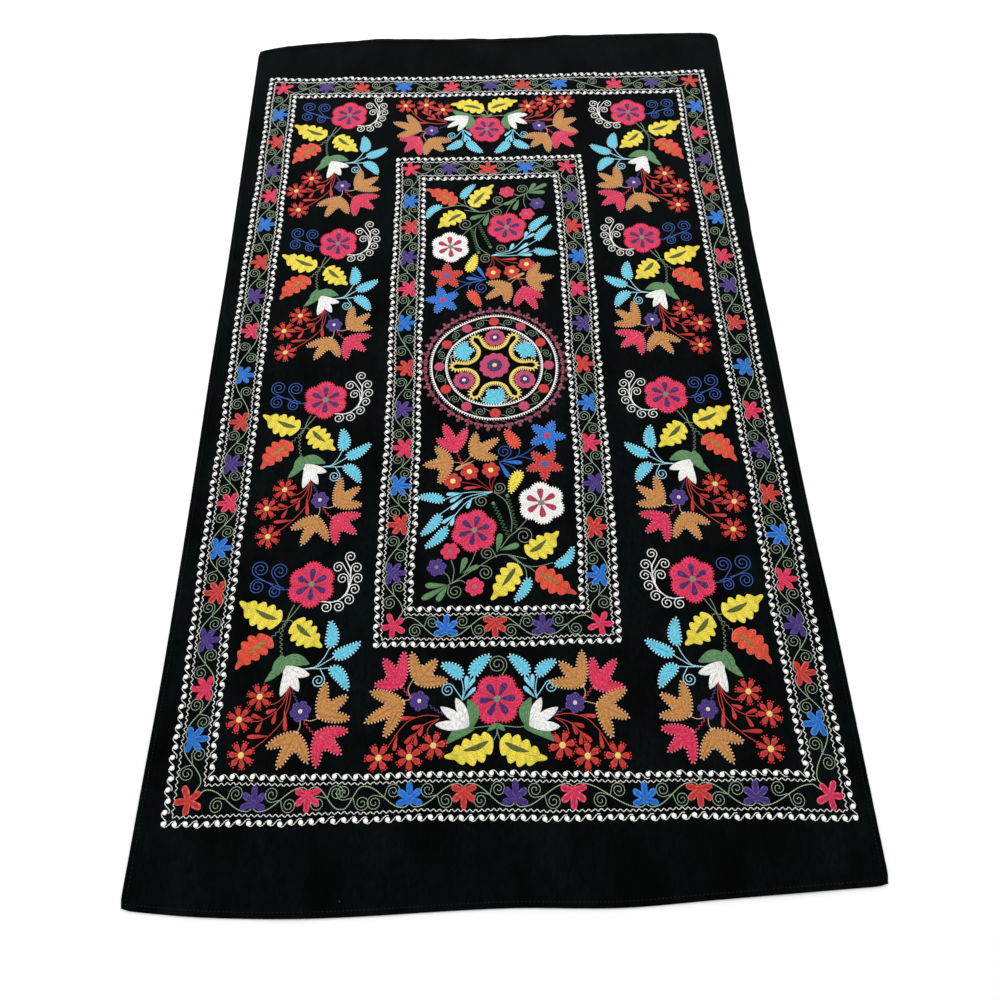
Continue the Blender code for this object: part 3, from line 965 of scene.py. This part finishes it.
def inner_group(place):
    """Half of the inner field, below the medallion; the other half is this one turned."""
    tulip(place, "pink", (-9.8, -24.3), (-12.8, -17.2), (-7.2, -18.2), (-14.6, -21.0))
    zigzag(place, "pink", [(-9.5, -24.6), (-8.9, -26.2), (-8.2, -27.6)], 0.9, 0.22, tone=0.3)
    place.lines("tan", [(-6.1, -25.6), (-7.2, -26.9), (-8.6, -28.0)],
                [(-10.6, -27.2), (-9.2, -27.4), (-8.0, -27.6)], tone=0.5)
    petal(place, "tan", (-5.3, -26.8), (-10.0, -29.3), 1.0, drop, tone=0.7)
    tulip(place, "tan", (-5.8, -25.2), (-5.0, -19.3), (0.5, -21.0), (0.2, -26.2))
    tulip(place, "tan", (-10.9, -27.3), (-14.8, -23.0), (-17.5, -27.8), (-13.8, -32.7))

    petal(place, "orange", (4.6, -23.6), (1.8, -18.9), 2.7, leaf, picot=True)
    place.lines("navy", [(0.2, -27.3), (3.0, -26.7), (6.0, -25.5), (9.2, -23.0)],
                [(0.2, -27.3), (4.0, -26.3), (5.6, -26.3), (8.4, -27.4)],
                [(3.6, -26.6), (4.8, -25.4), (4.9, -23.6)],
                [(1.2, -27.6), (3.2, -28.6), (4.6, -30.2)], width=0.0023)
    curl(place, "navy", (0.9, -27.2), (1.5, -24.6), 1.6, 1, width=THIN)
    petals(place, "blue", 1.1, drop, ((0.2, -27.0), (2.4, -31.4)), ((1.2, -27.2), (5.5, -27.8)))
    star(place, "blue", "pink", (11.3, -20.7), 4.4, 68)
    star(place, "red", "blue", (10.3, -28.4), 4.3, 55)
    petal(place, "yellow", (4.9, -30.0), (2.6, -35.3), 2.7, leaf, -0.04, picot=True)

    place.lines("red", [(-1.5, -34.8), (-4.8, -33.2), (-8.5, -32.4)],
                [(-1.5, -34.8), (-3.4, -33.0), (-5.4, -31.2)],
                [(-1.5, -34.8), (-2.1, -32.8), (-1.9, -31.2)],
                [(-1.6, -34.0), (-1.4, -32.6), (-0.7, -31.2)], width=0.0021, tone=-0.4)
    petal(place, "red", (-4.0, -33.6), (-8.2, -34.0), 0.9, drop, tone=-0.1)
    for spot in ((-10.5, -32.1), (-6.6, -29.7), (-1.7, -29.3)):
        blossom(place, "red", spot, "yellow", 15, 2.15, 0.7, 0.9)

    place.lines("cyan", [(-1.5, -34.9), (-8.0, -35.1), (-12.8, -36.6)],
                [(-1.5, -34.9), (-7.5, -36.2), (-13.4, -40.0)],
                [(-1.5, -34.9), (-7.4, -37.4), (-12.2, -43.4)], width=0.0027, tone=1.2)
    petals(place, "cyan", 1.0, drop,
           ((-8.4, -35.2), (-12.2, -35.3)), ((-8.4, -35.4), (-11.4, -37.3)),
           ((-8.2, -36.6), (-11.2, -39.2)), ((-6.2, -36.2), (-7.5, -39.1)),
           ((-9.9, -40.2), (-13.1, -42.4)), ((-10.3, -40.4), (-11.0, -43.2)), tone=1.1)
    cyan_leaf(place, (-12.8, -36.7), (-18.3, -35.7), 2.2, -0.06)
    cyan_leaf(place, (-13.5, -40.2), (-17.4, -45.0), 2.2, 0.06)
    cyan_leaf(place, (-11.9, -43.6), (-16.3, -48.0), 2.2, 0.06)

    place.line("sage", [(-1.2, -35.0), (1.6, -37.6), (2.8, -42.0), (2.6, -45.0)])
    zigzag(place, "green", [(-1.3, -38.0), (0.4, -42.0), (2.0, -46.2)], 0.9, 0.48, width=0.0018)
    zigzag(place, "green", [(1.9, -36.2), (2.9, -40.5), (3.9, -44.6)], 0.9, 0.48, width=0.0018)
    round_shape(place, "green", (-1.4, -37.8), 0.5)
    round_shape(place, "green", (1.8, -36.0), 0.5)
    place.lines("sage", [(-0.1, -48.8), (2.2, -46.0), (4.0, -44.6), (6.9, -41.4)],
                [(-11.5, -57.0), (-8.0, -54.9), (-5.0, -53.0), (0.0, -50.2), (5.6, -51.2)])
    place.lines("sage", [(1.6, -50.3), (5.0, -52.6), (8.0, -53.0), (11.4, -52.2)],
                [(2.6, -50.5), (5.0, -53.0), (5.6, -56.0)],
                [(4.4, -52.3), (6.4, -53.4), (7.6, -54.4)],
                [(2.2, -50.4), (3.4, -51.4), (3.6, -52.6)],
                [(-8.3, -55.1), (-6.4, -51.8), (-5.4, -49.4)],
                [(-10.6, -56.4), (-10.2, -53.6), (-10.8, -51.2)],
                [(-11.0, -56.8), (-11.4, -55.0), (-12.4, -54.0)],
                [(-10.8, -56.6), (-9.0, -56.0), (-7.8, -56.6)], width=THIN)
    for foot, centre, radius, hand in (
        ((-2.6, -36.0), (-4.1, -37.2), 1.5, 1), ((-1.0, -34.4), (0.1, -33.9), 1.45, 1),
        ((3.6, -44.8), (5.4, -46.0), 1.85, -1), ((-1.0, -50.9), (-3.0, -50.0), 1.45, 1),
        ((-4.6, -52.8), (-3.6, -54.4), 1.5, -1), ((-11.2, -57.0), (-10.0, -58.4), 1.5, 1),
    ):
        curl(place, "sage", foot, centre, radius, hand, width=0.0025)
    for foot, tip, width in (
        ((-0.9, -49.9), (0.2, -45.2), 1.5), ((-0.3, -49.2), (4.2, -47.9), 1.5),
        ((-9.0, -54.6), (-7.6, -50.8), 1.4), ((-8.6, -54.4), (-4.9, -52.8), 1.2),
        ((-11.4, -56.9), (-16.2, -56.9), 1.4), ((-11.4, -56.9), (-16.9, -60.0), 1.4),
        ((-11.4, -56.9), (-13.7, -60.4), 1.4),
    ):
        petal(place, "green", foot, tip, width, drop)

    great_flower(place, (9.5, -38.2), "white", "crimson", 35, 1.6)
    great_flower(place, (-5.7, -44.5), turn=18)
    blossom(place, "pink", (-11.0, -49.2), "stone")
    blossom(place, "pink", (-5.9, -57.5), "stone", 20)
    blossom(place, "purple", (-13.8, -52.8), "stone", 10)
    veined_leaf(place, "yellow", (5.6, -50.2), (13.0, -45.0), 5.6, bend=-0.08)
    veined_leaf(place, "yellow", (3.6, -52.4), (-2.4, -60.4), 5.4, bend=0.02)
    veined_leaf(place, "orange", (7.6, -53.8), (16.3, -59.2), 5.2, bend=-0.05)
    cyan_leaf(place, (12.0, -53.0), (15.8, -48.6), 2.1, -0.14)
    cyan_leaf(place, (6.1, -55.7), (2.8, -60.4), 2.1, 0.06)


# x and y are where its great flower is, and curls is how many curls its white scroll has.
SideGroup = namedtuple("SideGroup", "x y turn size curls", defaults=(1, 9))
SIDE_GROUPS = (
    SideGroup(-41.6, 87.2, 0.5, 1.045), SideGroup(39.5, 86.2, -2.0, 1.03, 8),
    SideGroup(-41.2, 38.8, 1.1), SideGroup(39.2, 38.6, -0.5),
    SideGroup(-41.0, -9.7, 2.0), SideGroup(40.1, -10.5, -0.1),
    SideGroup(-40.6, -56, 0.8), SideGroup(40.7, -56.8, -0.8),
)


def embroider():
    frames_and_borders()
    medallion()
    for x, y, turn, size, curls in SIDE_GROUPS:
        side_group(Place(x, y, turn, (1 if x < 0 else -1, 1), size), curls)
    centre_group(Place())
    curl(Place(), "sage", (-0.4, -76.2), (-1.2, -73.9), 1.85, 1, width=0.0026, turns=2.2)
    centre_group(Place(-0.4, -0.6, flip=(1, -1)))
    inner_group(Place())
    inner_group(Place(-2.2, -1.5, 180))


# ---------------------------------------------------------------- materials
def set_input(tree, socket, value):
    if isinstance(value, bpy.types.NodeSocket):
        tree.links.new(value, socket)
    else:
        socket.default_value = value


def wire(tree, kind, inputs=None, **settings):
    """Adds a node, with its settings and its inputs linked or set."""
    node = tree.nodes.new(kind)
    for key, value in settings.items():
        setattr(node, key, value)
    for key, value in (inputs or {}).items():
        set_input(tree, node.inputs[key], value)
    return node


def maths(tree, operation, a, b=0.0, c=0.0, clamp=False):
    inputs = {0: a, 1: b, 2: c}
    return wire(tree, "ShaderNodeMath", inputs, operation=operation, use_clamp=clamp).outputs[0]


def mixed(tree, factor, a, b):
    return wire(tree, "ShaderNodeMix", {0: factor, 6: a, 7: b}, data_type="RGBA").outputs[2]


def noise(tree, where, scale, detail, **more):
    inputs = {"Vector": where, "Scale": scale, "Detail": detail, **more}
    return wire(tree, "ShaderNodeTexNoise", inputs).outputs[0]


def new_material(name):
    material = bpy.data.materials.new(name)
    material.use_nodes = True
    tree = material.node_tree
    return material, tree, tree.nodes["Principled BSDF"]


def surface(tree, shader, colour, roughness, height, strength, distance):
    """Links what a cloth or thread looks like to its shader, with its relief as a bump."""
    bump = {"Height": height, "Strength": strength, "Distance": distance}
    tree.links.new(colour, shader.inputs["Base Color"])
    tree.links.new(roughness, shader.inputs["Roughness"])
    tree.links.new(wire(tree, "ShaderNodeBump", bump).outputs[0], shader.inputs["Normal"])


def linear(red, green, blue):
    """Display values from 0 to 255 as linear colour."""
    return tuple(
        c / 12.92 if c <= 0.04045 else ((c + 0.055) / 1.055) ** 2.4
        for c in (red / 255, green / 255, blue / 255)
    ) + (1.0,)


def scaled(colour, by):
    return tuple(min(1.0, c * by) for c in colour[:3]) + (1.0,)


# gap_shade_strength is how strongly painted shade darkens the hollows between strands and loops
def thread_material(name, colour, sheen=0.15, gap_shade_strength=0.65):
    """Chain stitch: two strands round an eye, drawn in where one loop meets the next."""
    material, tree, shader = new_material(name)
    uv = wire(tree, "ShaderNodeUVMap", uv_map="stitch")
    split = wire(tree, "ShaderNodeSeparateXYZ", {0: uv.outputs[0]})
    loop = maths(tree, "MULTIPLY", maths(tree, "PINGPONG", split.outputs[0], 0.5), 2.0)
    middle = maths(tree, "MULTIPLY", maths(tree, "PINGPONG", split.outputs[1], 0.5), 2.0)
    joined = maths(tree, "MULTIPLY", loop, 2.6, clamp=True)
    off = maths(tree, "SUBTRACT", middle, 0.58)
    strand = maths(tree, "MULTIPLY_ADD", maths(tree, "MULTIPLY", off, off), -1.9, 1.0)
    relief = maths(tree, "MULTIPLY", joined, strand)

    where = wire(tree, "ShaderNodeTexCoord").outputs["Object"]
    fuzz = noise(tree, where, 900.0, 2.0)
    worn = noise(tree, where, 26.0, 3.0)
    gap_shade_mottle = noise(tree, where, 260.0, 1.0)
    tone = wire(tree, "ShaderNodeAttribute", attribute_name="tone").outputs["Fac"]

    height = maths(tree, "MULTIPLY_ADD", fuzz, 0.35, relief)
    # Painted shade: the hollows between the two strands, and where one loop meets the next, are
    # darkened, more where the mottling noise is high.
    painted_gap_shade = maths(tree, "MULTIPLY", maths(tree, "SUBTRACT", 1.0, relief, clamp=True), gap_shade_strength)
    spot = maths(tree, "MULTIPLY_ADD", gap_shade_mottle, 5.0, -2.4, clamp=True)
    shade = maths(tree, "MULTIPLY", painted_gap_shade, maths(tree, "MULTIPLY_ADD", spot, 0.6, 0.5))
    lighter = maths(tree, "MULTIPLY_ADD", tone, 0.70, -0.14, clamp=True)
    darker = maths(tree, "MULTIPLY", tone, -0.8, clamp=True)
    fade = maths(tree, "MULTIPLY_ADD", worn, 0.5, -0.15, clamp=True)
    body = mixed(tree, fade, scaled(colour, 0.88), scaled(colour, 1.12))
    pale = tuple(0.58 * c + 0.42 * 0.80 for c in colour[:3]) + (1.0,)
    body = mixed(tree, lighter, body, pale)
    body = mixed(tree, darker, body, scaled(colour, 0.38))
    # The painted shade in the stitch hollows, towards 0.3 of the thread's colour.
    body = mixed(tree, shade, body, scaled(colour, 0.3))
    rough = maths(tree, "MULTIPLY_ADD", fuzz, 0.2, 0.5)
    surface(tree, shader, body, rough, height, 0.8, 0.0007)
    shader.inputs["Specular IOR Level"].default_value = 0.3
    shader.inputs["Sheen Weight"].default_value = sheen
    shader.inputs["Sheen Roughness"].default_value = 0.4
    return material


def velvet_material():
    """Short black pile: brushed patches, fine grain, a few specks of lint and a grazing sheen."""
    material, tree, shader = new_material("black_velvet_pile")
    where = wire(tree, "ShaderNodeTexCoord").outputs["Object"]
    along_nap = {"Vector": where, "Scale": (1.0, 0.45, 1.0)}
    patch = noise(tree, wire(tree, "ShaderNodeMapping", along_nap).outputs[0], 9.0, 5.0,
                  Roughness=0.62)
    rib = noise(tree, wire(tree, "ShaderNodeMapping", along_nap).outputs[0], 160.0, 2.0)
    pile = noise(tree, where, 1400.0, 2.0)
    nap = maths(tree, "MULTIPLY_ADD", patch, 2.4, -0.75, clamp=True)
    grain = maths(tree, "MULTIPLY_ADD", rib, 0.5, maths(tree, "MULTIPLY", pile, 0.5))
    mottled = maths(tree, "MULTIPLY", nap, maths(tree, "MULTIPLY_ADD", grain, 3.0, -0.7),
                    clamp=True)
    body = mixed(tree, mottled, (0.0001, 0.0001, 0.0001, 1), (0.0024, 0.0046, 0.0048, 1))

    lint = wire(tree, "ShaderNodeTexVoronoi", {"Vector": where, "Scale": 17.0})
    near = maths(tree, "LESS_THAN", lint.outputs["Distance"], 0.022)
    pick = wire(tree, "ShaderNodeSeparateColor", {0: lint.outputs["Color"]})
    few = maths(tree, "MULTIPLY", near, maths(tree, "GREATER_THAN", pick.outputs[0], 0.78))
    body = mixed(tree, maths(tree, "MULTIPLY", few, 0.5), body, (0.16, 0.16, 0.15, 1))
    rough = maths(tree, "MULTIPLY_ADD", grain, 0.15, 0.78)
    height = maths(tree, "MULTIPLY_ADD", patch, 1.6, grain)
    surface(tree, shader, body, rough, height, 0.5, 0.0012)
    shader.inputs["Specular IOR Level"].default_value = 0.03
    shader.inputs["Sheen Weight"].default_value = 0.065
    shader.inputs["Sheen Roughness"].default_value = 0.30
    shader.inputs["Sheen Tint"].default_value = (0.72, 0.96, 1.0, 1.0)
    return material


# ---------------------------------------------------------------- the velvet sheet and its hem
def shares(length):
    near = np.array(HEM_DISTANCE) / length
    inner = np.linspace(near[-1], 1 - near[-1], round(length / CELL) + 1)[1:-1]
    return np.concatenate([near, inner, 1 - near[::-1]])


def build_velvet(material):
    width, length = NOMINAL_SIZE
    u, v = np.meshgrid(shares(width), shares(length))
    xy = place_on_panel(u, v)
    inset = np.minimum(np.minimum(u, 1 - u) * width, np.minimum(v, 1 - v) * length)
    for corner, worn in ((TOP_EDGE[-1], 0.007), (TOP_EDGE[0], 0.003), (BOTTOM_EDGE[0], 0.003),
                         (BOTTOM_EDGE[-1], 0.003)):
        away = np.linalg.norm(xy - np.array(corner), axis=-1)
        xy = xy - (worn * np.exp(-(away / 0.014) ** 2))[..., None] * np.sign(corner)
    x, y = xy[..., 0], xy[..., 1]
    pucker = 0.00035 * np.exp(-inset / 0.02) * (1 + np.sin(150 * x) * np.sin(140 * y + 1))
    floor_gap = lift(x, y) + pucker
    top = np.dstack([xy, floor_gap + np.interp(inset, HEM_DISTANCE, HEM_TOP)])
    under = np.dstack([xy, floor_gap + np.interp(inset, HEM_DISTANCE, HEM_UNDER)])
    rows, columns = u.shape
    upper = np.arange(rows * columns).reshape(rows, columns)
    lower = upper.copy()
    lower[1:-1, 1:-1] = upper.size + np.arange((rows - 2) * (columns - 2)).reshape(rows - 2, -1)

    def quads(index, flipped):
        corners = [index[:-1, :-1], index[:-1, 1:], index[1:, 1:], index[1:, :-1]]
        return np.stack(corners[::-1] if flipped else corners, -1).reshape(-1, 4)

    faces = np.concatenate([quads(upper, False), quads(lower, True)])
    points = np.concatenate([top.reshape(-1, 3), under[1:-1, 1:-1].reshape(-1, 3)])
    mesh = bpy.data.meshes.new("velvet_cloth")
    mesh.from_pydata(points.tolist(), [], faces.tolist())
    return add_object("velvet_cloth", mesh, material)


def hem_stitches():
    """Small black running stitches that hold the turned edge."""
    thread = Thread("hem_stitches", "velvet_black")
    a, b = (HEM_STITCHING / size for size in NOMINAL_SIZE)
    ring = [(a, b), (1 - a, b), (1 - a, 1 - b), (a, 1 - b)]
    t = np.linspace(0, 1, 200)
    for (u0, v0), (u1, v1) in zip(ring, ring[1:] + ring[:1]):
        path = even(place_on_panel(u0 + t * (u1 - u0), v0 + t * (v1 - v0)), 0.0075)
        domes(thread, path, headings(path), 0.0052, 0.0013, 0.0003, 0.0014, -0.4)
    return thread


def build_floor():
    material, tree, shader = new_material("pale_floor")
    where = wire(tree, "ShaderNodeTexCoord").outputs["Object"]
    soft = noise(tree, where, 1.5, 2.0)
    body = mixed(tree, soft, (0.88, 0.88, 0.88, 1), (0.90, 0.90, 0.90, 1))
    tree.links.new(body, shader.inputs["Base Color"])
    shader.inputs["Roughness"].default_value = 0.9
    mesh = bpy.data.meshes.new("floor")
    mesh.from_pydata([(x, y, -0.0005) for x, y in ((-9, -9), (9, -9), (9, 9), (-9, 9))], [],
                     [(0, 1, 2, 3)])
    mesh.materials.append(material)
    obj = bpy.data.objects.new("floor", mesh)
    bpy.context.scene.collection.objects.link(obj)


def add_light(name, where, aim, size, power):
    light = bpy.data.lights.new(name, "AREA")
    light.shape = "DISK"
    light.size = size
    light.energy = power
    obj = bpy.data.objects.new(name, light)
    obj.location = where
    obj.rotation_euler = (Vector(aim) - Vector(where)).to_track_quat("-Z", "Y").to_euler()
    bpy.context.scene.collection.objects.link(obj)


def light_and_camera():
    scene = bpy.context.scene
    world = bpy.data.worlds.new("studio")
    world.use_nodes = True
    world.node_tree.nodes["Background"].inputs[0].default_value = (1, 1, 1, 1)
    world.node_tree.nodes["Background"].inputs[1].default_value = 0.88
    scene.world = world
    add_light("soft_overhead", (-0.8, 1.2, 3.4), (0, 0.1, 0), 3.0, 64)
    add_light("soft_far", (0.6, 4.2, 2.2), (0, 0.4, 0), 2.4, 36)
    scene.view_settings.view_transform = "Standard"

    camera = bpy.data.cameras.new("camera")
    camera.sensor_width = 36.0
    camera.lens = 27.85
    camera.clip_end = 60.0
    obj = bpy.data.objects.new("camera", camera)
    obj.location = (0.007, -1.1075, 1.574)
    turn = Vector((0.4334, 0.0050, -0.0202))
    obj.rotation_euler = Quaternion(turn.normalized(), turn.length).to_euler()
    scene.collection.objects.link(obj)
    scene.camera = obj


# ---------------------------------------------------------------- making it
light_and_camera()
embroider()
pieces = [
    thread.build(thread_material("chain_stitch_" + name, linear(*YARNS[name][1])))
    for name, thread in THREADS.items()
]
# The hem thread gets only a little painted shade in its stitch hollows.
hem_thread = thread_material("hem_thread", linear(4, 6, 6), sheen=0.02, gap_shade_strength=0.2)
pieces.append(hem_stitches().build(hem_thread))

velvet = build_velvet(velvet_material())
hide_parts("velvet_panel")
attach(velvet, "root")
build_floor()


def plain(box):
    return [[float(value) for value in corner] for corner in box]
